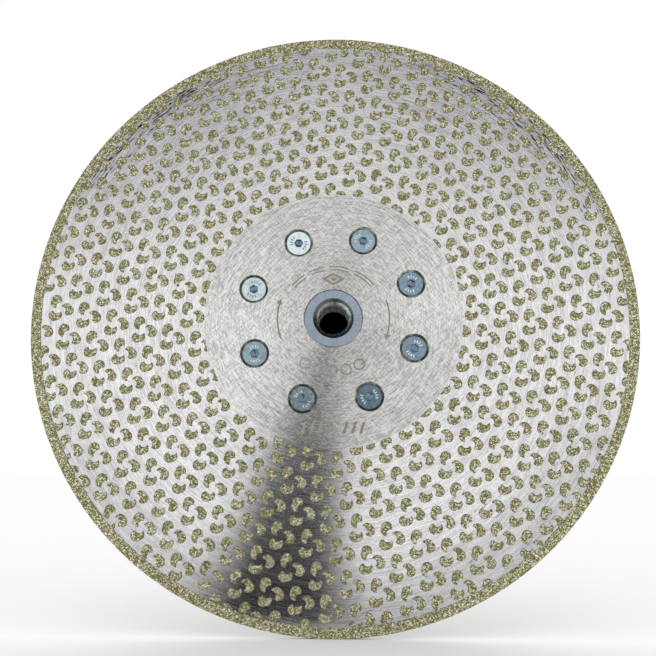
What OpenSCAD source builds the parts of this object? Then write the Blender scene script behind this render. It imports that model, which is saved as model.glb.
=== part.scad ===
// Diamond grinding wheel: an electroplated steel blank screwed to a threaded spindle flange.
// The wheel stands upright. Its spin axis is Y, the grinding face looks towards -Y and the
// flange is on the +Y side. The origin is on the spin axis, in the plane where the flange
// meets the back face of the blank.

/* [Blank] */
// Outer diameter over the diamond rim
wheel_d = 230; // [200:5:250]
// Thickness of the steel blank
core_t = 1.8; // [1.6:0.1:2.4]
// Centre bore of the blank
core_bore_d = 22.23; // [22.2:0.01:22.3]

/* [Diamond coating] */
// Thickness of the plated grit
grit_t = 0.4; // [0.3:0.05:0.6]
// Width of the continuous grit band at the rim
rim_band_w = 4; // [3:0.5:8]
// Diameter of the bare centre that carries no grit
bare_d = 98; // [94:1:110]

/* [Grit pattern] */
// Distance between neighbouring trefoils before the pattern is stretched
trefoil_pitch = 11.29; // [10.5:0.01:13]
// Direction of the first row of trefoils
pattern_turn = -12.66; // [-30:0.01:30]
// How much longer the pattern is along the stretch direction than across it
pattern_stretch = 1.076; // [1:0.001:1.1]
// Stretch direction
stretch_dir = 108.5; // [0:0.5:180]
// Sideways place of the trefoil nearest the centre
pattern_x = -3.89; // [-6:0.01:6]
// Height of the trefoil nearest the centre
pattern_z = -1.82; // [-6:0.01:6]
// Radius of a petal at its shoulder
shoulder_r = 2.12; // [1.9:0.01:2.3]
// Radius of a petal at its round end
round_end_r = 1.98; // [1.8:0.01:2.1]
// Radius of the bite that gives a petal its tail
bite_r = 1.57; // [1.3:0.01:1.7]

/* [Flange] */
// Diameter of the clamping plate
plate_d = 85; // [80:1:92]
// Thickness of the clamping plate
plate_t = 5; // [4.5:0.5:7]
// Diameter of the threaded boss
boss_d = 30; // [28:1:36]
// Width across the boss's spanner flats
boss_flats = 24; // [22:0.5:26]
// Length of the spanner flats
flats_h = 9; // [6:0.5:10]
// Height of the boss's end above the blank's back face
hub_h = 17.9; // [16:0.1:22]
// How far the spigot stands proud of the blank's front face
spigot_proud = 0.3; // [0.1:0.1:0.6]
// Gap round the spigot in the blank's bore
spigot_gap = 0.04; // [0.02:0.01:0.06]
// Minor diameter of the M14 x 2 spindle thread
thread_minor_d = 11.835; // [11.8:0.005:12.2]
// Mouth diameter of the chamfers at both ends of the thread
thread_mouth_d = 15.4; // [14.2:0.1:16]

/* [Screws] */
// Number of flange screws
screw_count = 8; // [4:1:8]
// Diameter of the circle through the screws
screw_circle_d = 65; // [60:0.5:68]
// Angle of the first screw above +X
first_screw_angle = 24.44; // [0:0.01:45]
// Screw thread diameter
screw_d = 5; // [4.5:0.1:5.5]
// Diameter of the countersunk head
head_d = 9.4; // [9:0.1:10]
// Height of the head's straight rim
head_rim_h = 0.3; // [0.1:0.1:0.4]
// Mouth diameter of the countersinks in the blank
sink_d = 10.9; // [10.5:0.1:11.2]
// Width across the flats of the hex socket
socket_af = 3; // [2.5:0.5:3.5]
// Depth of the hex socket
socket_depth = 2; // [1.5:0.1:2.4]
// How far the screw's end stays below the back of the plate
screw_end_gap = 0.4; // [0.2:0.1:1]

/* [Hidden] */
$fn = 96;
TREFOIL_TURNS = [0, 120, 240];
SHOULDER_AT = [2.62, 0.06];
ROUND_END_AT = [3.47, -0.59];
BITE_AT = [0.75, -0.69];
PETAL_FN = 64;
SLIVER_MARGIN = 1.2;
CUT = 0.1;
SMALL_CHAMFER = 0.3;
PLATE_CHAMFER = 0.8;
BOSS_CHAMFER = 1;
BOSS_FILLET = 2;
SCREW_END_CHAMFER = 0.5;
SOCKET_TURNS = [11, 38, 4, 52, 27, 17, 45, 33];

core_r = wheel_d / 2 - grit_t;
band_r = wheel_d / 2 - rim_band_w;
bare_r = bare_d / 2;
spigot_r = core_bore_d / 2 - spigot_gap;
spigot_h = core_t + spigot_proud;
bore_r = thread_minor_d / 2;
mouth_r = thread_mouth_d / 2;
mouth_h = mouth_r - bore_r;
plate_r = plate_d / 2;
boss_r = boss_d / 2;
screw_r = screw_d / 2;
head_r = head_d / 2;
sink_r = sink_d / 2;
// The head bears on the 90 degree countersink where the two have the same radius.
head_bear_h = core_t - (sink_r - head_r);
head_top_h = head_bear_h + head_rim_h;
head_neck_h = head_bear_h - (head_r - screw_r);
socket_r = socket_af / 2 / cos(30);
stretch_long = sqrt(pattern_stretch);
rings = ceil(wheel_d / trefoil_pitch / sqrt(3)) + 1;

function along(angle) = [cos(angle), sin(angle)];
function turned(p, angle) = [p.x * cos(angle) - p.y * sin(angle), p.x * sin(angle) + p.y * cos(angle)];
function stretched(p) =
    let (long = along(stretch_dir), short = along(stretch_dir - 90))
    stretch_long * (p * long) * long + (p * short) * short / stretch_long;
function trefoil_at(i, j) =
    [pattern_x, pattern_z]
    + stretched(trefoil_pitch * (i * along(pattern_turn) + j * along(pattern_turn + 60)));
function petal_at(centre, turn) = centre + stretched(turned((SHOULDER_AT + ROUND_END_AT) / 2, turn));

// Every petal whose middle lies on the coated ring, as [trefoil centre, turn]
petals = [
    for (i = [-rings:rings], j = [-rings:rings], turn = TREFOIL_TURNS)
        let (centre = trefoil_at(i, j), reach = norm(petal_at(centre, turn)))
        if (reach > bare_r - SLIVER_MARGIN && reach < band_r + SLIVER_MARGIN) [centre, turn]
];

// Shapes are drawn with Z up from the seat plane and then turned so that Z points to the front.
module facing_front() {
    rotate([90, 0, 0]) children();
}

module at_each_screw() {
    for (i = [0:screw_count - 1])
        rotate(first_screw_angle + i * 360 / screw_count) translate([screw_circle_d / 2, 0, 0]) children();
}

module petal(turn) {
    difference() {
        union() {
            translate(stretched(turned(SHOULDER_AT, turn))) circle(shoulder_r, $fn = PETAL_FN);
            translate(stretched(turned(ROUND_END_AT, turn))) circle(round_end_r, $fn = PETAL_FN);
        }
        translate(stretched(turned(BITE_AT, turn))) circle(bite_r, $fn = PETAL_FN);
    }
}

// The coated ring of petals, as one layer that stands on the plane Z = 0
module grit_layer() {
    linear_extrude(grit_t) intersection() {
        difference() {
            circle(band_r);
            circle(bare_r);
        }
        union() for (p = petals) translate(p[0]) petal(p[1]);
    }
}

module countersink() {
    depth = core_t + 2 * CUT;
    translate([0, 0, -CUT]) cylinder(depth, sink_r - core_t - CUT, sink_r + CUT);
}

module steel_core() {
    color([0.66, 0.66, 0.65]) facing_front() difference() {
        cylinder(core_t, core_r, core_r);
        translate([0, 0, -CUT]) cylinder(core_t + 2 * CUT, core_bore_d / 2, core_bore_d / 2);
        at_each_screw() countersink();
    }
}

module front_grit_pattern() {
    color([0.55, 0.54, 0.42]) facing_front() translate([0, 0, core_t]) grit_layer();
}

module back_grit_pattern() {
    color([0.55, 0.54, 0.42]) facing_front() rotate([180, 0, 0]) grit_layer();
}

// The band wraps both faces and the edge of the blank.
module rim_grit_band() {
    color([0.5, 0.49, 0.38]) facing_front() rotate_extrude() difference() {
        translate([band_r, -grit_t]) square([rim_band_w, core_t + 2 * grit_t]);
        translate([band_r - CUT, 0]) square([core_r - band_r + CUT, core_t]);
    }
}

// Half section of the flange: X is the radius and Y the height above the seat plane
module flange_section() {
    difference() {
        polygon([
            [bore_r, spigot_h - mouth_h],
            [mouth_r, spigot_h],
            [spigot_r - SMALL_CHAMFER, spigot_h],
            [spigot_r, spigot_h - SMALL_CHAMFER],
            [spigot_r, 0],
            [plate_r - SMALL_CHAMFER, 0],
            [plate_r, -SMALL_CHAMFER],
            [plate_r, -plate_t + PLATE_CHAMFER],
            [plate_r - PLATE_CHAMFER, -plate_t],
            [boss_r + BOSS_FILLET, -plate_t],
            [boss_r, -plate_t - BOSS_FILLET],
            [boss_r, -hub_h + BOSS_CHAMFER],
            [boss_r - BOSS_CHAMFER, -hub_h],
            [mouth_r, -hub_h],
            [bore_r, -hub_h + mouth_h]
        ]);
        translate([boss_r + BOSS_FILLET, -plate_t - BOSS_FILLET]) circle(BOSS_FILLET);
    }
}

module tapped_hole() {
    sink_h = sink_r - core_t - screw_r;
    translate([0, 0, -plate_t - CUT]) cylinder(plate_t + CUT, screw_r, screw_r);
    translate([0, 0, -sink_h]) cylinder(sink_h + CUT, screw_r, screw_r + sink_h + CUT);
}

module spanner_flat() {
    translate([boss_flats / 2, -boss_r, -hub_h - CUT]) cube([boss_r, boss_d, flats_h + CUT]);
}

module flange_hub() {
    color([0.6, 0.66, 0.68]) facing_front() difference() {
        rotate_extrude() flange_section();
        at_each_screw() tapped_hole();
        for (turn = [0, 180]) rotate(turn) spanner_flat();
    }
}

module flange_screw(number) {
    end_h = -plate_t + screw_end_gap;
    color([0.6, 0.68, 0.72]) facing_front()
        rotate(first_screw_angle + (number - 1) * 360 / screw_count)
        translate([screw_circle_d / 2, 0, 0]) difference() {
            rotate_extrude() polygon([
                [0, end_h],
                [screw_r - SCREW_END_CHAMFER, end_h],
                [screw_r, end_h + SCREW_END_CHAMFER],
                [screw_r, head_neck_h],
                [head_r, head_bear_h],
                [head_r, head_top_h],
                [0, head_top_h]
            ]);
            translate([0, 0, head_top_h - socket_depth]) rotate(SOCKET_TURNS[number - 1])
                cylinder(socket_depth + CUT, socket_r, socket_r, $fn = 6);
        }
}

steel_core();
front_grit_pattern();
back_grit_pattern();
rim_grit_band();
flange_hub();
for (i = [1:screw_count])
    flange_screw(i);
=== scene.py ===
import math

import bmesh
import bpy
import numpy as np
from mathutils import Matrix, Vector


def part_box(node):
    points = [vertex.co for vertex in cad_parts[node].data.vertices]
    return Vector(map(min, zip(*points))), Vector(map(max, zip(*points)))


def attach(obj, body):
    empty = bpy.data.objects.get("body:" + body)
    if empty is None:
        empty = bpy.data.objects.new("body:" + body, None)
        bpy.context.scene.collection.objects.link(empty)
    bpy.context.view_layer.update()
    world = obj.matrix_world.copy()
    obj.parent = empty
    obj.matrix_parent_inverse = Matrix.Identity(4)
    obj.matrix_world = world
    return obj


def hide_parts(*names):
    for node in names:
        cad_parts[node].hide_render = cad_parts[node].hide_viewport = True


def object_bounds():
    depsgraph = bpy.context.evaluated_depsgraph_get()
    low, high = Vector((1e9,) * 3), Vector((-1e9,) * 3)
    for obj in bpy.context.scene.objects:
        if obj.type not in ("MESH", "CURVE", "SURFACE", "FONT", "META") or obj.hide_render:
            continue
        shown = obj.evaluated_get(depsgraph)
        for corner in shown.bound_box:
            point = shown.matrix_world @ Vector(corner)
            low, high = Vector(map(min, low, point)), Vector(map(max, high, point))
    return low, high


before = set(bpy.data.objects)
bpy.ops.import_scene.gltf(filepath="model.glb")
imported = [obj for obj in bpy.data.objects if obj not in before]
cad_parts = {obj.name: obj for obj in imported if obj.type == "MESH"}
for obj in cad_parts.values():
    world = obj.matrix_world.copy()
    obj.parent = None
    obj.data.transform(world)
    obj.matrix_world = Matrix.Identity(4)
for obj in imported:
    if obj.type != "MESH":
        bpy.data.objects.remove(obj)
cad_low, cad_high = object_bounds()

# ---------------------------------------------------------------------------------------------
# Sizes, in metres. The spin axis is Y and the grinding face looks towards -Y.
# ---------------------------------------------------------------------------------------------
MM = 0.001
SLACK = 0.01 * MM
core_low, core_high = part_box("steel_core")
rim_low, rim_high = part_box("rim_grit_band")
grit_low, grit_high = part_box("front_grit_pattern")
hub_low, hub_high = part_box("flange_hub")

FRONT_Y = core_low.y
BACK_Y = core_high.y
CORE_R = core_high.x
WHEEL_R = min(rim_high.x, rim_high.z, -rim_low.x, -rim_low.z)
GRIT_T = grit_high.y - grit_low.y
HUB_FRONT_Y = hub_low.y
HUB_BACK_Y = hub_high.y
FLOOR_Z = cad_low.z

CORE_BORE_R = 11.115 * MM
BAND_R = WHEEL_R - 4 * MM
BARE_R = 49 * MM

TREFOIL_PITCH = 11.29 * MM
PATTERN_TURN = math.radians(-12.66)
PATTERN_STRETCH = 1.076
STRETCH_DIR = math.radians(108.5)
PATTERN_AT = np.array([-3.89, -1.82]) * MM
SHOULDER = (2.62 * MM, 0.06 * MM, 2.12 * MM)
ROUND_END = (3.47 * MM, -0.59 * MM, 1.98 * MM)
BITE = (0.75 * MM, -0.69 * MM, 1.57 * MM)
SLIVER_MARGIN = 1.2 * MM
TREFOIL_RINGS = 13

SCREW_COUNT = 8
SCREW_CIRCLE_R = 32.5 * MM
FIRST_SCREW_ANGLE = math.radians(24.44)
SCREW_R = 2.5 * MM
SCREW_ROOT_R = 2.03 * MM
SCREW_PITCH = 0.8 * MM
HEAD_R = 4.7 * MM
HEAD_RIM_H = 0.3 * MM
SINK_R = 10.9 / 2 * MM
SOCKET_AF = 3 * MM
SOCKET_DEPTH = 2 * MM
SOCKET_TURNS = (11, 38, 4, 52, 27, 17, 45, 33)
# Painted brightness of each screw head: the same zinc drawn lighter or darker, screw by screw, in place of
# the light each head reflects.
HEAD_PAINTED_BRIGHTNESS = (0.38, 0.5, 1.0, 0.82, 0.48, 0.43, 0.26, 0.35)

THREAD_CREST_R = 5.9175 * MM
THREAD_ROOT_R = 7 * MM
THREAD_PITCH = 2 * MM
MOUTH_R = 7.7 * MM
SPIGOT_R = 11.075 * MM
PLATE_R = 42.5 * MM
PLATE_BACK_Y = 5 * MM
BOSS_R = 15 * MM
BOSS_FILLET = 2 * MM
FLATS_HALF = 12 * MM
FLATS_START_Y = HUB_BACK_Y - 9 * MM


# ---------------------------------------------------------------------------------------------
# Mesh helpers
# ---------------------------------------------------------------------------------------------
def on_face(points, depth):
    """Points of the wheel's face plane, (right, up), as (x, y, z) at the given y."""
    return np.column_stack([points[:, 0], np.broadcast_to(depth, len(points)), points[:, 1]])


def circle(radius, count, centre=(0.0, 0.0)):
    angles = np.arange(count) * 2 * math.pi / count
    return np.column_stack([centre[0] + radius * np.cos(angles), centre[1] + radius * np.sin(angles)])


def turned(point, angle):
    c, s = math.cos(angle), math.sin(angle)
    return np.array([point[0] * c - point[1] * s, point[0] * s + point[1] * c])


def screw_angle(number):
    return FIRST_SCREW_ANGLE + (number - 1) * 2 * math.pi / SCREW_COUNT


def screw_centre(number):
    return turned((SCREW_CIRCLE_R, 0), screw_angle(number))


def make_piece(name, points, faces, materials, sharp_angle=None):
    """A mesh object that rides on the wheel's one body."""
    mesh = bpy.data.meshes.new(name)
    mesh.from_pydata(points, [], faces)
    mesh.validate()
    for material in materials:
        mesh.materials.append(material)
    piece = bpy.data.objects.new(name, mesh)
    bpy.context.scene.collection.objects.link(piece)
    if sharp_angle is not None:
        finish_surface(mesh, sharp_angle)
    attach(piece, "root")
    return piece


def finish_surface(mesh, sharp_angle):
    """Merges shared corners, turns faces outwards and shades smooth except at sharp edges."""
    bm = bmesh.new()
    bm.from_mesh(mesh)
    bmesh.ops.remove_doubles(bm, verts=bm.verts, dist=0.002 * MM)
    bmesh.ops.recalc_face_normals(bm, faces=bm.faces)
    for face in bm.faces:
        face.smooth = True
    for edge in bm.edges:
        edge.smooth = edge.is_manifold and edge.calc_face_angle(0) < math.radians(sharp_angle)
    bm.to_mesh(mesh)
    bm.free()


def store(mesh, name, domain, values):
    attribute = mesh.attributes.new(name, "FLOAT", domain)
    attribute.data.foreach_set("value", values.astype(np.float32))


def face_places(mesh):
    """Each face's middle, as its distance from the spin axis, and as (x, y, z)."""
    middles = np.empty(len(mesh.polygons) * 3)
    mesh.polygons.foreach_get("center", middles)
    middles = middles.reshape(-1, 3)
    return np.hypot(middles[:, 0], middles[:, 2]), middles


class Shell:
    """Collects rings of points and joins them into one mesh."""

    def __init__(self):
        self.points = []
        self.faces = []

    def add(self, points):
        start = len(self.points)
        self.points.extend(map(tuple, points))
        return list(range(start, start + len(points)))

    def bridge(self, ring_a, ring_b):
        """Quads between two closed rings of the same length."""
        count = len(ring_a)
        for i in range(count):
            j = (i + 1) % count
            self.faces.append((ring_a[i], ring_a[j], ring_b[j], ring_b[i]))

    def cap(self, ring):
        self.faces.append(tuple(ring))

    def fill_flat(self, loops, depth):
        """Fills the flat region between the first loop and the others, at one depth."""
        bm = bmesh.new()
        edges = []
        for loop in loops:
            verts = [bm.verts.new(p) for p in on_face(loop, depth)]
            edges += [bm.edges.new((verts[i - 1], verts[i])) for i in range(len(verts))]
        filled = bmesh.ops.triangle_fill(bm, edges=edges, use_beauty=True, use_dissolve=False)
        bm.verts.index_update()
        start = len(self.points)
        self.points.extend(tuple(v.co) for v in bm.verts)
        for face in filled["geom"]:
            if isinstance(face, bmesh.types.BMFace):
                self.faces.append(tuple(start + v.index for v in face.verts))
        bm.free()


def lathe(shell, profile, count, centre=(0.0, 0.0), clamp_from=None):
    """Turns (radius, y) points about an axis. Rings from clamp_from on end at the spanner flats."""
    rings = []
    for index, (radius, depth) in enumerate(profile):
        points = on_face(circle(radius, count, centre), depth)
        if clamp_from is not None and index >= clamp_from:
            points[:, 0] = np.clip(points[:, 0], -FLATS_HALF, FLATS_HALF)
        rings.append(shell.add(points))
    for ring_a, ring_b in zip(rings, rings[1:]):
        shell.bridge(ring_a, ring_b)
    return rings


def arc_profile(centre, radius, start, end, steps):
    """(radius, y) points of an arc in a lathe profile, angles in degrees."""
    angles = np.radians(np.linspace(start, end, steps))
    return [(centre[0] + radius * math.cos(a), centre[1] + radius * math.sin(a)) for a in angles]


# ---------------------------------------------------------------------------------------------
# Node helpers for materials
# ---------------------------------------------------------------------------------------------
class Nodes:
    """A material's node tree, with short ways to add and join nodes."""

    def __init__(self, name):
        self.material = bpy.data.materials.new(name)
        self.material.use_nodes = True
        self.tree = self.material.node_tree
        self.shader = self.tree.nodes["Principled BSDF"]

    def new(self, kind, **settings):
        node = self.tree.nodes.new(kind)
        for key, value in settings.items():
            setattr(node, key, value)
        return node

    def join(self, value, socket):
        """Links a socket, or sets a plain number or vector."""
        if isinstance(value, bpy.types.NodeSocket):
            self.tree.links.new(value, socket)
        else:
            socket.default_value = value

    def math(self, operation, a, b=0.0, c=0.0, clamp=False):
        node = self.new("ShaderNodeMath", operation=operation, use_clamp=clamp)
        for value, socket in zip((a, b, c), node.inputs):
            self.join(value, socket)
        return node.outputs[0]

    def position(self):
        node = self.new("ShaderNodeTexCoord")
        return node.outputs["Object"]

    def split(self, vector):
        node = self.new("ShaderNodeSeparateXYZ")
        self.join(vector, node.inputs[0])
        return node.outputs

    def combine(self, x, y, z):
        node = self.new("ShaderNodeCombineXYZ")
        for value, socket in zip((x, y, z), node.inputs):
            self.join(value, socket)
        return node.outputs[0]

    def noise(self, vector, scale, detail=2.0):
        node = self.new("ShaderNodeTexNoise")
        self.join(vector, node.inputs["Vector"])
        node.inputs["Scale"].default_value = scale
        node.inputs["Detail"].default_value = detail
        return node.outputs["Fac"]

    def ramp(self, value, stops):
        """A colour ramp; stops are (position, grey or colour)."""
        node = self.new("ShaderNodeValToRGB")
        self.join(value, node.inputs[0])
        elements = node.color_ramp.elements
        while len(elements) < len(stops):
            elements.new(0.5)
        for element, (place, colour) in zip(elements, stops):
            element.position = place
            element.color = (*colour, 1) if isinstance(colour, tuple) else (colour, colour, colour, 1)
        return node.outputs[0]

    def spread(self, value, low, high, to_low=0.0, to_high=1.0):
        """Maps low..high to to_low..to_high, clamped."""
        node = self.new("ShaderNodeMapRange")
        for socket_value, socket in zip((value, low, high, to_low, to_high), node.inputs):
            self.join(socket_value, socket)
        return node.outputs[0]

    def mix(self, factor, a, b, blend="MIX"):
        node = self.new("ShaderNodeMix", data_type="RGBA", blend_type=blend)
        self.join(factor, node.inputs["Factor"])
        self.join(a, node.inputs[6])
        self.join(b, node.inputs[7])
        return node.outputs[2]

    def bump(self, height, strength, distance):
        node = self.new("ShaderNodeBump")
        self.join(height, node.inputs["Height"])
        node.inputs["Strength"].default_value = strength
        node.inputs["Distance"].default_value = distance
        self.join(node.outputs[0], self.shader.inputs["Normal"])

    def attribute(self, name):
        node = self.new("ShaderNodeAttribute", attribute_name=name)
        return node.outputs["Fac"]

    def cells(self, vector, scale):
        """A random tone for each grain-sized cell."""
        node = self.new("ShaderNodeTexVoronoi")
        self.join(vector, node.inputs["Vector"])
        node.inputs["Scale"].default_value = scale
        return self.split(node.outputs["Color"])[0]

    def scratches(self, angle, length, width):
        """Noise drawn out along one direction of the wheel's face; length and width in metres."""
        x, _, z = self.split(self.position())
        c, s = math.cos(angle), math.sin(angle)
        along = self.math("ADD", self.math("MULTIPLY", x, c / length), self.math("MULTIPLY", z, s / length))
        across = self.math("ADD", self.math("MULTIPLY", x, -s / width), self.math("MULTIPLY", z, c / width))
        return self.noise(self.combine(along, across, 0.0), 1.0, 2.0)

    def rings(self, polar, turns, per_metre, detail=2.0):
        """Noise drawn out round the spin axis: turns sets the length of a streak and per_metre its width."""
        radius, cosine, sine = polar
        spread_out = (self.math("MULTIPLY", cosine, turns), self.math("MULTIPLY", sine, turns))
        return self.noise(self.combine(*spread_out, self.math("MULTIPLY", radius, per_metre)), 1.0, detail)

    def blend(self, *parts):
        """Weighted sum of (value, weight) pairs."""
        total = 0.0
        for value, weight in parts:
            total = self.math("MULTIPLY_ADD", value, weight, total)
        return total

    def sector(self, polar, angle, half_width, soft):
        """1 inside a sector of the wheel and 0 outside, angles in degrees."""
        _, cosine, sine = polar
        direction = math.radians(angle)
        facing = self.blend((cosine, math.cos(direction)), (sine, math.sin(direction)))
        outside = math.cos(math.radians(half_width + soft))
        inside = math.cos(math.radians(half_width))
        return self.spread(facing, outside, inside)

    def set(self, **values):
        for key, value in values.items():
            self.join(value, self.shader.inputs[key.replace("_", " ")])

    def polar(self):
        """Radius from the spin axis, and the radial direction as cosine and sine."""
        x, _, z = self.split(self.position())
        radius = self.math("SQRT", self.math("ADD", self.math("MULTIPLY", x, x), self.math("MULTIPLY", z, z)))
        safe = self.math("MAXIMUM", radius, 0.0001)
        return radius, self.math("DIVIDE", x, safe), self.math("DIVIDE", z, safe)


def brushed_steel():
    """Steel ground in rings, with a warmer, cross-scratched bare centre, stains at the upper rim, and painted
    shade at the lower rim and towards the lower right.
    """
    n = Nodes("brushed_steel")
    polar = n.polar()
    radius, cosine, sine = polar
    fine = n.rings(polar, 12, 2600, 3.0)
    broad = n.rings(polar, 5, 420)
    speckle = n.noise(n.position(), 1900, 2.0)
    lines = n.blend((fine, 0.5), (broad, 0.2), (speckle, 0.3))
    outer_colour = n.ramp(lines, [(0.40, (0.61, 0.61, 0.615)), (0.60, (1.0, 1.0, 1.0))])
    turned_rings = n.rings(polar, 9, 2000)
    rising = n.scratches(0.75, 5.5 * MM, 0.42 * MM)
    falling = n.scratches(2.35, 4.5 * MM, 0.42 * MM)
    hatch = n.blend((rising, 0.5), (falling, 0.5))
    inner_lines = n.blend((hatch, 0.5), (turned_rings, 0.3), (speckle, 0.2))
    inner_colour = n.ramp(inner_lines, [(0.43, (0.52, 0.51, 0.49)), (0.57, (1.0, 0.995, 0.975))])
    centre = n.spread(radius, BARE_R + 0.5 * MM, BARE_R - 0.5 * MM)
    worn = n.spread(radius, 14 * MM, 32 * MM, 0.84, 1.0)
    colour = n.mix(centre, outer_colour, n.mix(1.0, inner_colour, n.combine(worn, worn, worn), "MULTIPLY"))
    stained = n.math("ADD", n.sector(polar, 47, 14, 14), n.sector(polar, 133, 12, 14), clamp=True)
    from_inside = n.spread(radius, 99 * MM, 109 * MM)
    from_outside = n.spread(radius, 111.5 * MM, 110.8 * MM)
    dirty = n.math("MULTIPLY", n.math("MULTIPLY", from_inside, from_outside), stained)
    dashes = n.blend((n.rings(polar, 28, 1500, 3.0), 1.0), (dirty, 0.19))
    smudge = n.math("MULTIPLY", n.spread(dashes, 0.6, 0.72), 0.3)
    # Painted shade: the steel is darkened near the rim towards the bottom of the wheel.
    low_rim_painted_shade = n.math("MULTIPLY", n.spread(radius, 86 * MM, 108 * MM), n.spread(sine, -0.2, -0.6, 0.0, 0.26))
    marks = n.math("MULTIPLY", n.spread(dashes, 0.71, 0.80), 0.7)
    # The oil mask is painted shade: the steel is darkened in a sector towards the lower right, more in the
    # bare centre.
    oil = n.math("MULTIPLY", n.sector(polar, 315, 22, 30), n.spread(centre, 0.0, 1.0, 0.055, 0.17))
    # The stains at the upper rim and the painted shade at the lower rim and lower right are mixed together
    # towards near black.
    stain = n.math("ADD", n.math("ADD", marks, smudge), n.math("ADD", low_rim_painted_shade, oil), clamp=True)
    n.set(Base_Color=n.mix(stain, colour, (0.03, 0.032, 0.037, 1)))
    n.set(Metallic=1.0, Anisotropic=0.9, Tangent=n.combine(cosine, 0.0, sine))
    smooth = n.spread(lines, 0.4, 0.6, 0.15, 0.22)
    n.set(Roughness=n.math("ADD", smooth, n.math("MULTIPLY", centre, 0.06)))
    n.bump(n.blend((lines, 1.0), (n.math("MULTIPLY", inner_lines, centre), 0.8)), 0.35, 0.012 * MM)
    return n.material


def grit(name, dark):
    """Diamond grains in nickel plating. Each facet has its own tone from the mesh, and the colour is darkened
    towards the outlines as painted shade, down to the factor dark.
    """
    n = Nodes(name)
    grain = n.attribute("grain")
    depth = n.attribute("depth")
    cells = n.cells(n.position(), 2500)
    tone = n.blend((grain, 0.3), (cells, 0.7))
    stops = [
        (0.05, (0.085, 0.078, 0.022)),
        (0.33, (0.205, 0.19, 0.06)),
        (0.57, (0.32, 0.30, 0.125)),
        (0.69, (0.55, 0.535, 0.35)),
        (0.82, (0.95, 0.94, 0.82)),
    ]
    colour = n.ramp(tone, stops)
    # Painted shade: darker where depth is small, towards each outline and on the sides.
    edge = n.spread(depth, 0.0, 0.45, dark, 1.0)
    n.set(Base_Color=n.mix(1.0, colour, n.combine(edge, edge, edge), "MULTIPLY"))
    n.set(Metallic=0.35, Roughness=n.spread(tone, 0.2, 0.9, 0.5, 0.16))
    return n.material


def zinc(name, shades, roughness, hatch):
    """Zinc plating on steel, turned, with spokes on the faces in front. The mesh's tone picks the shade; on
    the screws it carries painted shade in the sockets and round the heads, and a painted brightness for each
    head.
    """
    n = Nodes(name)
    radius, cosine, sine = n.polar()
    fanned = (n.math("MULTIPLY", cosine, 42), n.math("MULTIPLY", sine, 42))
    spokes = n.noise(n.combine(*fanned, n.math("MULTIPLY", radius, 60)), 1.0, 2.0)
    cloud = n.noise(n.position(), 700, 3.0)
    turning = n.rings((radius, cosine, sine), 3, 3200)
    _, y, _ = n.split(n.position())
    faced = n.mix(n.spread(y, BACK_Y, BACK_Y + 1 * MM), spokes, turning)
    lines = n.blend((faced, hatch), (cloud, 1 - hatch))
    light = n.spread(lines, 0.36, 0.64, 0.74, 1.2)
    plated = n.ramp(n.attribute("tone"), shades)
    n.set(Base_Color=n.mix(1.0, plated, n.combine(light, light, light), "MULTIPLY"))
    n.set(Metallic=1.0, Roughness=n.spread(lines, 0.3, 0.7, roughness - 0.06, roughness + 0.08))
    n.bump(lines, 0.3, 0.02 * MM)
    return n.material


def bore_painted_light():
    """The flange's bore: a painted highlight at the thread's first crest, darker on the cone, and painted
    shade deeper in that turns near black.
    """
    n = Nodes("bore_painted_light")
    _, y, _ = n.split(n.position())
    film = n.noise(n.position(), 900, 3.0)
    stops = [
        (0.0, (0.17, 0.19, 0.18)),
        (0.115, (0.19, 0.21, 0.19)),
        (0.145, (0.64, 0.70, 0.65)),
        (0.22, (0.38, 0.44, 0.39)),
        (0.42, (0.17, 0.21, 0.17)),
        (0.7, (0.008, 0.01, 0.008)),
    ]
    # Painted highlight at the first crest and painted shade deeper in, set by depth along the bore.
    colour = n.ramp(n.spread(y, HUB_FRONT_Y - 0.1 * MM, HUB_FRONT_Y + 11 * MM), stops)
    shade = n.spread(film, 0.35, 0.65, 0.6, 1.1)
    n.set(Base_Color=n.mix(1.0, colour, n.combine(shade, shade, shade), "MULTIPLY"))
    n.set(Metallic=1.0, Roughness=n.spread(film, 0.35, 0.65, 0.22, 0.4))
    return n.material


def gap_dirt_and_painted_shade():
    """The narrow gaps round the screws and the spigot: dark partly from oil and grinding dust and partly as
    painted shade, with lighter green flecks as painted glints.
    """
    n = Nodes("gap_dirt_and_painted_shade")
    film = n.noise(n.position(), 380, 2.0)
    stops = [
        (0.40, (0.07, 0.075, 0.055)),
        (0.54, (0.20, 0.215, 0.14)),
        (0.66, (0.50, 0.54, 0.38)),
    ]
    # Near black for the dirt and the painted shade; the lighter green stops are painted glints.
    n.set(Base_Color=n.ramp(film, stops))
    n.set(Metallic=0.7, Roughness=0.45)
    return n.material


def laser_mark():
    """Tan brown annealing colour of a laser mark on steel, worn away towards the lower left."""
    n = Nodes("laser_mark")
    x, _, z = n.split(n.position())
    patch = n.noise(n.position(), 1500, 3.0)
    side = n.math("MULTIPLY", n.spread(x, 4 * MM, -4 * MM), n.spread(z, -9 * MM, -13 * MM))
    mark = n.ramp(patch, [(0.3, (0.31, 0.265, 0.205)), (0.7, (0.40, 0.355, 0.29))])
    n.set(Base_Color=n.mix(n.math("MULTIPLY", side, 0.6), mark, (0.5, 0.49, 0.465, 1)))
    n.set(Metallic=0.85, Roughness=0.4)
    return n.material


STEEL = brushed_steel()
# The second number is how dark the painted shade at the grit's outlines gets.
GRIT = grit("diamond_grit", 0.7)
RIM_GRIT = grit("rim_grit", 0.85)
FLANGE_ZINC = zinc("flange_zinc", [(0.0, (0.02, 0.02, 0.03)), (1.0, (0.40, 0.465, 0.55))], 0.34, 0.75)
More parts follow.
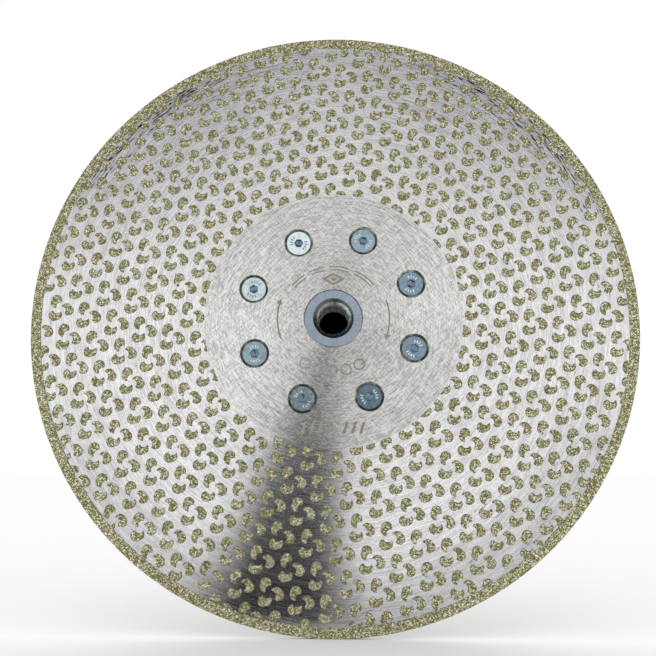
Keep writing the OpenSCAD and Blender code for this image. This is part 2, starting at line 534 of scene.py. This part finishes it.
# Low tones are the painted shade in the sockets and round the heads; higher tones are each head's painted
# brightness.
SCREW_SHADES = [
    (0.0, (0.01, 0.013, 0.012)),
    (0.15, (0.07, 0.10, 0.09)),
    (0.3, (0.20, 0.28, 0.37)),
    (0.6, (0.42, 0.56, 0.63)),
    (1.0, (0.84, 0.98, 1.0)),
]
SCREW_ZINC = zinc("screw_zinc", SCREW_SHADES, 0.25, 0.1)
BORE_PAINTED_LIGHT = bore_painted_light()
GAP_DIRT_AND_PAINTED_SHADE = gap_dirt_and_painted_shade()
LASER_MARK = laser_mark()


# ---------------------------------------------------------------------------------------------
# Steel blank
# ---------------------------------------------------------------------------------------------
def build_blank():
    shell = Shell()
    deburr = 0.08 * MM
    rim_count, bore_count, hole_count = 360, 120, 72
    centres = [screw_centre(i + 1) for i in range(SCREW_COUNT)]
    hole_back_r = SINK_R - (BACK_Y - FRONT_Y)
    edges = [circle(CORE_R - deburr, rim_count), circle(CORE_BORE_R + deburr, bore_count)]
    shell.fill_flat(edges + [circle(SINK_R + deburr, hole_count, c) for c in centres], FRONT_Y)
    shell.fill_flat(edges + [circle(hole_back_r + deburr, hole_count, c) for c in centres], BACK_Y)
    lathe(shell, [(CORE_R - deburr, FRONT_Y), (CORE_R, FRONT_Y + deburr),
                  (CORE_R, BACK_Y - deburr), (CORE_R - deburr, BACK_Y)], rim_count)
    lathe(shell, [(CORE_BORE_R + deburr, FRONT_Y), (CORE_BORE_R, FRONT_Y + deburr),
                  (CORE_BORE_R, BACK_Y - deburr), (CORE_BORE_R + deburr, BACK_Y)], bore_count)
    for centre in centres:
        lathe(shell, [(SINK_R + deburr, FRONT_Y), (SINK_R - deburr, FRONT_Y + deburr),
                      (hole_back_r, BACK_Y - deburr), (hole_back_r + deburr, BACK_Y)], hole_count, centre)
    piece = make_piece("steel_blank", shell.points, shell.faces, [STEEL, GAP_DIRT_AND_PAINTED_SHADE], 20)
    reach, middles = face_places(piece.data)
    # Faces between front and back inside the bare centre, the countersinks and the bore walls, take the gap
    # finish of dirt and painted shade.
    between_faces = (middles[:, 1] > FRONT_Y + SLACK) & (middles[:, 1] < BACK_Y - SLACK)
    sunk = between_faces & (reach < BARE_R)
    piece.data.polygons.foreach_set("material_index", sunk.astype(np.int32))
    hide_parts("steel_core")


# ---------------------------------------------------------------------------------------------
# Diamond grit
# ---------------------------------------------------------------------------------------------
GRAIN_PITCH = 0.31 * MM
SMALLEST_PATCH = 24  # triangles; a petal that the ring cuts down to fewer is left out
GRAIN_SHIFT = 0.26 * GRAIN_PITCH
OUTLINE_SHIFT = 0.13 * GRAIN_PITCH
GRAIN_HEIGHT = (0.45 * GRIT_T, 0.55 * GRIT_T)  # least height, and what chance adds to it
OUTLINE_HEIGHT = (0.22 * GRIT_T, 0.3 * GRIT_T)
ROOT_DEPTH = 0.03 * MM  # how far a petal's sides reach into the steel
TONE_BIAS = 0.9  # power that makes a few more of the random facet tones light


def stretched(point):
    """The pattern's stretch: longer along one direction and shorter across it."""
    long = np.array([math.cos(STRETCH_DIR), math.sin(STRETCH_DIR)])
    short = np.array([math.sin(STRETCH_DIR), -math.cos(STRETCH_DIR)])
    gain = math.sqrt(PATTERN_STRETCH)
    return gain * np.dot(point, long) * long + np.dot(point, short) * short / gain


def petals():
    """Every petal on the coated ring, as three circles (x, y, radius): shoulder, round end and bite."""
    found = []
    first = turned((TREFOIL_PITCH, 0), PATTERN_TURN)
    second = turned((TREFOIL_PITCH, 0), PATTERN_TURN + math.pi / 3)
    for i in range(-TREFOIL_RINGS, TREFOIL_RINGS + 1):
        for j in range(-TREFOIL_RINGS, TREFOIL_RINGS + 1):
            centre = PATTERN_AT + stretched(i * first + j * second)
            for turn in (0, 2 * math.pi / 3, 4 * math.pi / 3):
                circles = [
                    (*(centre + stretched(turned((x, y), turn))), radius)
                    for x, y, radius in (SHOULDER, ROUND_END, BITE)
                ]
                (x0, y0, _), (x1, y1, _), _ = circles
                reach = math.hypot((x0 + x1) / 2, (y0 + y1) / 2)
                if BARE_R - SLIVER_MARGIN < reach < BAND_R + SLIVER_MARGIN:
                    found.append(circles)
    return found


def petal_depth(points, circles):
    """How far inside the petal's outline each point is; negative outside."""
    inside = [r - np.hypot(points[:, 0] - x, points[:, 1] - y) for x, y, r in circles]
    reach = np.hypot(points[:, 0], points[:, 1])
    body = np.maximum(inside[0], inside[1])
    return np.minimum(np.minimum(body, -inside[2]), np.minimum(reach - BARE_R, BAND_R - reach))


def triangle_grid(low, high, pitch):
    """A triangular lattice over a box: points and triangles."""
    rise = pitch * math.sqrt(3) / 2
    columns = int((high[0] - low[0]) / pitch) + 3
    rows = int((high[1] - low[1]) / rise) + 3
    row, column = np.mgrid[0:rows, 0:columns]
    x = low[0] - pitch + (column + 0.5 * (row % 2)) * pitch
    y = low[1] - rise + row * rise
    points = np.column_stack([x.ravel(), y.ravel()])
    here = (row * columns + column)[:-1, :-1]
    odd = (row % 2)[:-1, :-1]
    right, up, up_right = here + 1, here + columns, here + columns + 1
    lower = np.stack([here, right, np.where(odd, up_right, up)], -1)
    upper = np.stack([np.where(odd, here, right), up_right, up], -1)
    return points, np.concatenate([lower.reshape(-1, 3), upper.reshape(-1, 3)])


def petal_patch(circles, draw):
    """One petal's grit: points in the face plane, their heights, their depths in the petal, triangles."""
    middles = np.array(circles[:2])[:, :2]
    radius = SHOULDER[2]
    points, triangles = triangle_grid(middles.min(0) - radius, middles.max(0) + radius, GRAIN_PITCH)
    depth = petal_depth(points, circles)
    slope_x = (petal_depth(points + [SLACK, 0], circles) - depth) / SLACK
    slope_y = (petal_depth(points + [0, SLACK], circles) - depth) / SLACK
    near = np.abs(depth) < 0.5 * GRAIN_PITCH
    points[near] -= (depth * np.stack([slope_x, slope_y]))[:, near].T
    depth[near] = 0
    kept = triangles[(depth[triangles] >= 0).all(1) & (depth[triangles].max(1) > 0)]
    used, kept = np.unique(kept, return_inverse=True)
    kept = kept.reshape(-1, 3)
    points, depth = points[used], depth[used]
    inner = depth > 0
    points += draw.uniform(-1, 1, points.shape) * np.where(inner, GRAIN_SHIFT, OUTLINE_SHIFT)[:, None]
    share = draw.random(len(points))
    least, added = (np.where(inner, *pair) for pair in zip(GRAIN_HEIGHT, OUTLINE_HEIGHT))
    height = least + added * share
    return points, height, depth, kept


def outline_edges(triangles):
    """The directed edges that only one triangle has."""
    edges = np.concatenate([triangles[:, [0, 1]], triangles[:, [1, 2]], triangles[:, [2, 0]]])
    codes = edges[:, 0] * 100000 + edges[:, 1]
    mirrored = edges[:, 1] * 100000 + edges[:, 0]
    return edges[~np.isin(codes, mirrored)]


def outline_loops(edges):
    """Closed loops of corners from directed edges, or nothing where the outline touches itself."""
    follow = dict(edges.tolist())
    if len(follow) != len(edges):
        return []
    loops = []
    while follow:
        start, here = follow.popitem()
        loop = [start]
        while here != start:
            loop.append(here)
            here = follow.pop(here)
        loops.append(loop)
    return loops


def build_grit_faces(name, surface_y, outward, mirror, node, seed):
    """The petals of one face, in three pieces, as raised facets with sides that reach into the steel."""
    draw = np.random.default_rng(seed)
    parts = [([], [], [], []) for _ in range(3)]
    counts = [0, 0, 0]
    for circles in petals():
        points, height, depth, triangles = petal_patch(circles, draw)
        if len(triangles) < SMALLEST_PATCH:
            continue
        angle = math.atan2(circles[0][1], circles[0][0])
        sector = min(2, int((angle + math.pi) / (2 * math.pi) * 3))
        all_points, all_faces, all_depths, all_grains = parts[sector]
        edges = outline_edges(triangles)
        loops = outline_loops(edges)
        rim = np.unique(edges)
        foot_of = {int(v): len(points) + i for i, v in enumerate(rim)}
        flat = np.concatenate([points, points[rim]])
        y = surface_y + outward * np.concatenate([height, np.full(len(rim), -ROOT_DEPTH)])
        solid = on_face(flat * [1, mirror], y)
        start = counts[sector]
        sides = [(start + b, start + a, start + foot_of[a], start + foot_of[b]) for a, b in edges.tolist()]
        bottoms = [tuple(start + foot_of[v] for v in reversed(loop)) for loop in loops]
        all_points.append(solid)
        all_faces.extend(map(tuple, (triangles + start).tolist()))
        all_faces.extend(sides)
        all_faces.extend(bottoms)
        all_depths.append(np.concatenate([depth / MM, np.zeros(len(rim))]))
        all_grains.append(draw.random(len(triangles)) ** TONE_BIAS)
        all_grains.append(np.full(len(sides) + len(bottoms), 0.25))
        counts[sector] += len(solid)
    for sector, (all_points, all_faces, all_depths, all_grains) in enumerate(parts):
        if outward * mirror > 0:
            all_faces = [face[::-1] for face in all_faces]
        solid = np.concatenate(all_points)
        piece = make_piece(f"{name}_{sector + 1}", solid, all_faces, [GRIT])
        # The depth, zero on the outline and the sides, darkens them as painted shade in the material.
        store(piece.data, "depth", "POINT", np.concatenate(all_depths))
        store(piece.data, "grain", "FACE", np.concatenate(all_grains))
        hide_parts(node)


def build_rim_band(seed):
    """The band of grit that wraps the rim, in two halves, inside the CAD band's outline."""
    draw = np.random.default_rng(seed)
    inset = 0.05 * MM
    front, back = FRONT_Y - GRIT_T, BACK_Y + GRIT_T
    middle_y = (FRONT_Y + BACK_Y) / 2
    corner = 0.35 * MM
    step_h = 0.35 * GRIT_T
    outline = [
        (BAND_R, FRONT_Y + inset), (BAND_R, FRONT_Y - step_h), (BAND_R + corner, front),
        (WHEEL_R - corner, front), (WHEEL_R, front + corner), (WHEEL_R, back - corner),
        (WHEEL_R - corner, back), (BAND_R + corner, back), (BAND_R, BACK_Y + step_h),
        (BAND_R, BACK_Y - inset),
    ]
    most_pull = 0.55 * GRIT_T
    ragged_by = 0.35 * MM
    rows = []
    for (r0, y0), (r1, y1) in zip(outline, outline[1:]):
        steps = max(1, round(math.hypot(r1 - r0, y1 - y0) / GRAIN_PITCH))
        rows += [(r0 + (r1 - r0) * k / steps, y0 + (y1 - y0) * k / steps) for k in range(steps)]
    rows.append(outline[-1])
    hidden = [(CORE_R - inset, BACK_Y - inset), (CORE_R - inset, FRONT_Y + inset)]
    section = np.array(rows + hidden)
    visible = len(rows)
    columns = 2 * round(math.pi * WHEEL_R / GRAIN_PITCH)
    width = columns // 2 + 1
    turn = 2 * math.pi / columns
    for half in range(2):
        row, column = np.mgrid[0:len(section), 0:width]
        angle = (column + 0.5 * (row % 2)) * turn + half * math.pi
        radius = section[row, 0]
        y = section[row, 1]
        worn = (row > 0) & (row < visible - 1)
        pull = np.where(worn, draw.random(row.shape) ** 1.5 * most_pull, 0)
        on_edge = section[row, 0] > WHEEL_R - 0.9 * corner
        radius = radius - np.where(on_edge, 0.4 * pull, 0)
        y = y + np.where(on_edge, 0, np.sign(middle_y - y) * pull)
        ragged = (row <= 1) | ((row >= visible - 2) & (row < visible))
        radius = radius + np.where(ragged, draw.uniform(0, 1, row.shape) * ragged_by, 0)
        angle = angle + np.where(worn, draw.uniform(-0.25, 0.25, row.shape), 0) * turn
        across, up = radius * np.cos(angle), radius * np.sin(angle)
        points = np.column_stack([across.ravel(), y.ravel(), up.ravel()])
        faces = []
        for r in range(len(section)):
            s = (r + 1) % len(section)
            for c in range(width - 1):
                a, b, d, e = r * width + c, r * width + c + 1, s * width + c, s * width + c + 1
                if r % 2:
                    faces += [(a, b, e), (a, e, d)]
                else:
                    faces += [(a, b, d), (b, e, d)]
        grains = draw.random(len(faces)) ** TONE_BIAS
        faces += [tuple(r * width for r in range(len(section)))]
        faces += [tuple(r * width + width - 1 for r in reversed(range(len(section))))]
        piece = make_piece(f"rim_grit_{half + 1}", points, faces, [RIM_GRIT])
        store(piece.data, "grain", "FACE", np.concatenate([grains, [0.2, 0.2]]))
        # The depth darkens the band at its outer corner and its inner edge as painted shade in the material.
        store(piece.data, "depth", "POINT", np.minimum(WHEEL_R - radius, radius - BAND_R).ravel() / MM)
        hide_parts("rim_grit_band")


# ---------------------------------------------------------------------------------------------
# Threaded flange
# ---------------------------------------------------------------------------------------------
def thread_radius(angle, along, crest, root, pitch):
    """Radius of a right-hand 60 degree thread with short flats, between its crest and root radii."""
    phase = (along / pitch - angle / (2 * math.pi)) % 1.0
    rise = np.abs(phase - 0.5) * 2
    share = np.clip((rise - 0.125) / 0.625, 0, 1)
    return root + (crest - root) * share


def thread_grid(shell, low_y, high_y, rows, count, radius_at, centre=(0.0, 0.0)):
    """A grid of rings whose radius depends on angle and y."""
    angles = np.arange(count) * 2 * math.pi / count
    rings = []
    for y in np.linspace(low_y, high_y, rows):
        radius = radius_at(angles, y)
        flat = np.column_stack([centre[0] + radius * np.cos(angles), centre[1] + radius * np.sin(angles)])
        rings.append(shell.add(on_face(flat, y)))
    for ring_a, ring_b in zip(rings, rings[1:]):
        shell.bridge(ring_a, ring_b)
    return rings


def build_flange():
    shell = Shell()
    count, hole_count = 144, 48
    chamfer = 0.3 * MM
    plate_chamfer = 0.8 * MM
    boss_chamfer = 1 * MM
    hole_chamfer = 0.25 * MM
    hole_mouth = SCREW_R + hole_chamfer
    sink_h = SINK_R - (BACK_Y - FRONT_Y) - SCREW_R
    centres = [screw_centre(i + 1) for i in range(SCREW_COUNT)]

    def bore_radius(angles, y):
        cone = max(MOUTH_R - (y - HUB_FRONT_Y), MOUTH_R - (HUB_BACK_Y - y))
        return np.maximum(thread_radius(angles, y, THREAD_CREST_R, THREAD_ROOT_R, THREAD_PITCH), cone)

    thread_grid(shell, HUB_FRONT_Y, HUB_BACK_Y, 161, count, bore_radius)
    lathe(shell, [(MOUTH_R, HUB_FRONT_Y), (SPIGOT_R - chamfer, HUB_FRONT_Y),
                  (SPIGOT_R, HUB_FRONT_Y + chamfer), (SPIGOT_R, BACK_Y)], count)
    shell.fill_flat([circle(PLATE_R - chamfer, count), circle(SPIGOT_R, count)]
                    + [circle(SCREW_R + sink_h, hole_count, c) for c in centres], BACK_Y)
    lathe(shell, [(PLATE_R - chamfer, BACK_Y), (PLATE_R, BACK_Y + chamfer),
                  (PLATE_R, PLATE_BACK_Y - plate_chamfer), (PLATE_R - plate_chamfer, PLATE_BACK_Y)], count)
    shell.fill_flat([circle(PLATE_R - plate_chamfer, count), circle(BOSS_R + BOSS_FILLET, count)]
                    + [circle(hole_mouth, hole_count, c) for c in centres], PLATE_BACK_Y)
    for centre in centres:
        lathe(shell, [(SCREW_R + sink_h, BACK_Y), (SCREW_R, BACK_Y + sink_h),
                      (SCREW_R, PLATE_BACK_Y - hole_chamfer), (hole_mouth, PLATE_BACK_Y)], hole_count, centre)
    fillet = arc_profile((BOSS_R + BOSS_FILLET, PLATE_BACK_Y + BOSS_FILLET), BOSS_FILLET, 270, 180, 9)
    boss = [(BOSS_R, FLATS_START_Y), (BOSS_R, FLATS_START_Y), (BOSS_R, HUB_BACK_Y - boss_chamfer),
            (BOSS_R - boss_chamfer, HUB_BACK_Y), (MOUTH_R, HUB_BACK_Y)]
    lathe(shell, fillet + boss, count, clamp_from=len(fillet) + 1)
    finishes = [FLANGE_ZINC, BORE_PAINTED_LIGHT]
    piece = make_piece("threaded_flange", shell.points, shell.faces, finishes, 28)
    reach, middles = face_places(piece.data)
    # Faces inside the mouth take the bore's painted highlight and painted shade.
    piece.data.polygons.foreach_set("material_index", (reach < MOUTH_R - 0.02 * MM).astype(np.int32))
    store(piece.data, "tone", "FACE", np.ones(len(reach)))
    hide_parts("flange_hub")


# ---------------------------------------------------------------------------------------------
# Countersunk socket screws
# ---------------------------------------------------------------------------------------------
def build_screw(number):
    shell = Shell()
    centre = screw_centre(number)
    count = 72
    low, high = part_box(f"flange_screw_{number}")
    top_y, end_y = low.y, high.y
    bear_y = top_y + HEAD_RIM_H
    neck_y = bear_y + HEAD_R - SCREW_R
    edge = 0.12 * MM
    socket_edge = 0.06 * MM
    socket_cone_h = 0.4 * MM
    socket_r = SOCKET_AF / 2 / math.cos(math.pi / 6)
    turn = math.radians(SOCKET_TURNS[number - 1]) + screw_angle(number)

    def hexagon(radius):
        return np.array([centre + turned((radius, 0), turn + k * math.pi / 3) for k in range(6)])

    mouth = hexagon(socket_r + socket_edge)
    wall_end_y = top_y + SOCKET_DEPTH - socket_cone_h
    shell.fill_flat([circle(HEAD_R - edge, count, centre), mouth], top_y)
    rings = [
        shell.add(on_face(mouth, top_y)),
        shell.add(on_face(hexagon(socket_r), top_y + socket_edge)),
        shell.add(on_face(hexagon(socket_r), wall_end_y)),
        shell.add(on_face(hexagon(0.05 * MM), top_y + SOCKET_DEPTH)),
    ]
    for ring_a, ring_b in zip(rings, rings[1:]):
        shell.bridge(ring_a, ring_b)
    shell.cap(rings[-1])
    head = [(HEAD_R - edge, top_y), (HEAD_R, top_y + edge), (HEAD_R, bear_y), (SCREW_R, neck_y)]
    lathe(shell, head, count, centre)

    def shank_radius(angles, y):
        run_out = np.clip((y - neck_y) / (0.8 * MM), 0, 1)
        taper = SCREW_R - max(0.0, y - (end_y - 0.5 * MM))
        root = SCREW_R + (SCREW_ROOT_R - SCREW_R) * run_out
        return np.minimum(thread_radius(angles, y, SCREW_R, root, SCREW_PITCH), taper)

    rings = thread_grid(shell, neck_y, end_y, 58, count, shank_radius, centre)
    shell.cap(rings[-1])
    for group in (0.2, 0.2 + math.pi):
        for k in range(4):
            add_tick(shell, centre, turn + group + k * 0.36, top_y)
    piece = make_piece(f"socket_screw_{number}", shell.points, shell.faces, [SCREW_ZINC], 25)
    _, middles = face_places(piece.data)
    reach = np.hypot(middles[:, 0] - centre[0], middles[:, 2] - centre[1])
    # The head's tone is its painted brightness.
    painted_head_brightness = HEAD_PAINTED_BRIGHTNESS[number - 1]
    tone = np.full(len(reach), painted_head_brightness)
    sunk = middles[:, 1] > top_y + SLACK
    # Painted shade: the socket walls and the head's side, underside and shank are drawn dark, and the
    # socket's bottom a little less dark.
    tone[sunk] = np.where(reach < HEAD_R / 2, 0.11, 0.26)[sunk]
    tone[(middles[:, 1] > wall_end_y) & (reach < 0.9 * socket_r)] = 0.3
    tone[middles[:, 1] < top_y - 0.02 * MM] = 0.9 if painted_head_brightness < 0.6 else 0.45
    store(piece.data, "tone", "FACE", tone)
    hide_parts(f"flange_screw_{number}")


def add_tick(shell, centre, angle, top_y):
    """A small raised mark on a screw head, as a truncated block that sinks into the head."""
    inner, outer, half = 2.3 * MM, 3.4 * MM, 0.27 * MM
    rings = []
    for shrink, y in ((0, top_y + 0.04 * MM), (0, top_y), (0.05 * MM, top_y - 0.05 * MM)):
        corners = [(inner + shrink, -half + shrink), (outer - shrink, -half + shrink),
                   (outer - shrink, half - shrink), (inner + shrink, half - shrink)]
        flat = np.array([centre + turned(c, angle) for c in corners])
        rings.append(shell.add(on_face(flat, y)))
    shell.cap(rings[0][::-1])
    shell.bridge(rings[0], rings[1])
    shell.bridge(rings[1], rings[2])
    shell.cap(rings[2])


# ---------------------------------------------------------------------------------------------
# Laser marks on the bare centre: two rotation arrows and plain generic shapes, no lettering
# ---------------------------------------------------------------------------------------------
def add_plate(shell, outer, inner=None):
    """A thin flat solid in the outline of a loop, or between two loops of the same length."""
    top, bottom = FRONT_Y - 0.012 * MM, FRONT_Y + 0.02 * MM
    outer = np.array(outer)
    upper, lower = shell.add(on_face(outer, top)), shell.add(on_face(outer, bottom))
    shell.bridge(upper, lower)
    if inner is None:
        shell.cap(upper)
        shell.cap(lower[::-1])
        return
    inner = np.array(inner)
    inner_upper, inner_lower = shell.add(on_face(inner, top)), shell.add(on_face(inner, bottom))
    shell.bridge(inner_lower, inner_upper)
    shell.bridge(inner_upper, upper)
    shell.bridge(lower, inner_lower)


def arc_band(radius, width, start, end, steps=24):
    """Outline of a band along an arc about the spin axis, angles in degrees."""
    angles = np.radians(np.linspace(start, end, steps))
    outer = [((radius + width / 2) * math.cos(a), (radius + width / 2) * math.sin(a)) for a in angles]
    inner = [((radius - width / 2) * math.cos(a), (radius - width / 2) * math.sin(a)) for a in angles[::-1]]
    return outer + inner


def arrow_head(radius, at, towards):
    """A triangle on an arc about the spin axis that points clockwise (towards -1) or the other way (1)."""
    length, half = 2.1 * MM, 1.2 * MM
    angle = math.radians(at)
    tip = turned((radius, towards * length), angle)
    return [tip, turned((radius - half, 0), angle), turned((radius + half, 0), angle)]


def build_marks():
    shell = Shell()
    arrow_r = 21.2 * MM
    for start, end in ((202, 165), (19.5, -17)):
        add_plate(shell, arc_band(arrow_r, 0.6 * MM, start, end))
        add_plate(shell, arrow_head(arrow_r, end, -1))
    for start, end in ((141, 123), (116, 101), (94, 73), (66, 40)):
        add_plate(shell, arc_band(20.2 * MM, 0.5 * MM, start, end, 12))
        add_plate(shell, arc_band(18.9 * MM, 0.5 * MM, start, end, 12))
    diamond = np.array([(0, 2.4), (4.4, 0), (0, -2.4), (-4.4, 0)]) * MM
    diamond_at = np.array([0, 15.3 * MM])
    add_plate(shell, diamond + diamond_at, diamond * 0.66 + diamond_at)
    add_plate(shell, diamond * 0.3 + diamond_at)
    for k in range(5):
        centre = turned((20 * MM, 0), math.radians(-121.8 + 15.2 * k))
        add_plate(shell, circle(2.2 * MM, 40, centre), circle(1.65 * MM, 40, centre))
    bar = np.array([(-1.2, -2.1), (-0.1, -2.1), (1.2, 2.1), (0.1, 2.1)]) * MM
    for k in range(8):
        if k != 4:
            add_plate(shell, bar + [(-10.9 + 3.1 * k) * MM, -41.1 * MM])
    make_piece("laser_marks", shell.points, shell.faces, [LASER_MARK], 30)


# ---------------------------------------------------------------------------------------------
# Camera, floor and light
# ---------------------------------------------------------------------------------------------
CAMERA_AT = Vector((3.28 * MM, FRONT_Y - 285.28 * MM, -55.64 * MM))
CAMERA_LOOK = Vector((-0.01823, 0.98369, 0.17894))
CAMERA_UP = Vector((0, -0.17897, 0.98386))


def build_camera():
    data = bpy.data.cameras.new("camera")
    data.sensor_width = 36
    data.lens = 42.16
    data.clip_start = 0.01
    camera = bpy.data.objects.new("camera", data)
    back = -CAMERA_LOOK.normalized()
    right = CAMERA_UP.cross(back).normalized()
    up = back.cross(right)
    turn = Matrix((right, up, back)).transposed()
    camera.matrix_world = Matrix.Translation(CAMERA_AT) @ turn.to_4x4()
    bpy.context.scene.collection.objects.link(camera)
    bpy.context.scene.camera = camera


def plain_material(name, colour, roughness):
    n = Nodes(name)
    n.set(Base_Color=(*colour, 1), Roughness=roughness, Specular_IOR_Level=0.0)
    return n.material


def build_floor():
    size = 6.0
    mesh = bpy.data.meshes.new("floor")
    corners = [(-size, -size), (size, -size), (size, size), (-size, size)]
    mesh.from_pydata([(x, y, FLOOR_Z) for x, y in corners], [], [(0, 1, 2, 3)])
    mesh.materials.append(plain_material("floor", (0.95, 0.95, 0.95), 1.0))
    floor = bpy.data.objects.new("floor", mesh)
    bpy.context.scene.collection.objects.link(floor)


def card_material():
    """A matt card whose grey comes from the mesh."""
    n = Nodes("card")
    shade = n.attribute("shade")
    n.set(Base_Color=n.combine(shade, shade, shade), Roughness=1.0, Specular_IOR_Level=0.0)
    return n.material


def build_card(name, points, faces, shades, seen_by_camera=False):
    """A card that only reflections see, like a photographer's flag, or only the camera, as painted shade. No
    shadow.
    """
    mesh = bpy.data.meshes.new(name)
    mesh.from_pydata(points, [], faces)
    mesh.materials.append(CARD)
    store(mesh, "shade", "POINT", np.array(shades))
    card = bpy.data.objects.new(name, mesh)
    bpy.context.scene.collection.objects.link(card)
    card.visible_camera = seen_by_camera
    card.visible_glossy = not seen_by_camera
    card.visible_diffuse = False
    card.visible_shadow = False


def build_soft_flag(name, left, right, left_soft, right_soft, greys, place):
    """A flag between two edges, with a grey for each of its two ends, that fades to white on both sides."""
    columns = [(left, -left_soft), (left, 0), (right, 0), (right, right_soft)]
    points = [place(edge[end][0] + shift, edge[end][1]) for end in (0, 1) for edge, shift in columns]
    faces = [(k, k + 1, k + 5, k + 4) for k in range(3)]
    build_card(name, points, faces, [shade for grey in greys for shade in (0.9, grey, grey, 0.9)])


def build_flags():
    """The dark surroundings that the wedge below the hub reflects, and a black disc behind the bore, as
    painted shade seen through it.
    """
    low_z = FLOOR_Z + 1 * MM
    front_y = -330
    foot_z = low_z / MM
    top_z = 45

    def on_floor(x, y):
        return (x * MM, y * MM, low_z)

    def in_front(x, z):
        return (x * MM, front_y * MM, z * MM)

    left, right = [(-41, -20), (-65, front_y)], [(-5, -20), (-12, front_y)]
    build_soft_flag("floor_flag", left, right, 30, 22, (0.03, 0.03), on_floor)
    left, right = [(-64, foot_z), (-11, top_z)], [(-12, foot_z), (-6, top_z)]
    build_soft_flag("front_flag", left, right, 30, 22, (0.03, 0.2), in_front)
    # Painted shade: a black disc far behind the bore that only the camera sees, so the hole looks dark.
    shade_disc_y, shade_disc_r, corners = 0.7, 30 * MM, 32
    behind = CAMERA_AT * (shade_disc_y / CAMERA_AT.y)
    disc = on_face(circle(shade_disc_r, corners, (behind.x, behind.z)), behind.y)
    build_card("bore_painted_shade_disc", disc, [tuple(range(corners))], np.zeros(corners), seen_by_camera=True)


def world_background(tree, colour, strength):
    node = tree.nodes.new("ShaderNodeBackground")
    node.inputs["Strength"].default_value = strength
    if isinstance(colour, bpy.types.NodeSocket):
        tree.links.new(colour, node.inputs["Color"])
    else:
        node.inputs["Color"].default_value = colour
    return node.outputs[0]


def build_light():
    """A white studio that is darker overhead, where the upper rim reflects it."""
    world = bpy.data.worlds.new("studio")
    world.use_nodes = True
    tree = world.node_tree
    tree.nodes.clear()

    def add(kind, *values, **settings):
        node = tree.nodes.new(kind)
        for key, value in settings.items():
            setattr(node, key, value)
        for value, socket in zip(values, node.inputs):
            if isinstance(value, bpy.types.NodeSocket):
                tree.links.new(value, socket)
            else:
                socket.default_value = value
        return node

    towards = add("ShaderNodeSeparateXYZ", add("ShaderNodeTexCoord").outputs["Generated"])
    side = add("ShaderNodeMath", towards.outputs[0], operation="ABSOLUTE").outputs[0]
    height = add("ShaderNodeMath", side, 0.45, towards.outputs[2], operation="MULTIPLY_ADD").outputs[0]
    ramp = add("ShaderNodeValToRGB", height)
    stops = [
        (0.0, (1, 1, 1)),
        (0.435, (1, 1, 1)),
        (0.485, (0.6, 0.6, 0.62)),
        (0.54, (0.2, 0.2, 0.22)),
        (0.8, (0.18, 0.18, 0.2)),
    ]
    while len(ramp.color_ramp.elements) < len(stops):
        ramp.color_ramp.elements.new(0.5)
    for element, (place, colour) in zip(ramp.color_ramp.elements, stops):
        element.position = place
        element.color = (*colour, 1)
    path = add("ShaderNodeLightPath")
    mirrored = world_background(tree, ramp.outputs[0], 0.95)
    soft = world_background(tree, (1, 1, 1, 1), 1.06)
    seen = world_background(tree, (1, 1, 1, 1), 1.0)
    lit = add("ShaderNodeMixShader", path.outputs["Is Diffuse Ray"], mirrored, soft)
    final = add("ShaderNodeMixShader", path.outputs["Is Camera Ray"], lit.outputs[0], seen)
    add("ShaderNodeOutputWorld", final.outputs[0])
    bpy.context.scene.world = world
    bpy.context.scene.view_settings.view_transform = "Standard"


CARD = card_material()
build_camera()
build_floor()
build_flags()
build_light()
build_blank()
build_flange()
for screw_number in range(1, SCREW_COUNT + 1):
    build_screw(screw_number)
build_marks()
build_grit_faces("front_grit", FRONT_Y, -1, 1, "front_grit_pattern", 11)
build_grit_faces("back_grit", BACK_Y, 1, -1, "back_grit_pattern", 12)
build_rim_band(13)
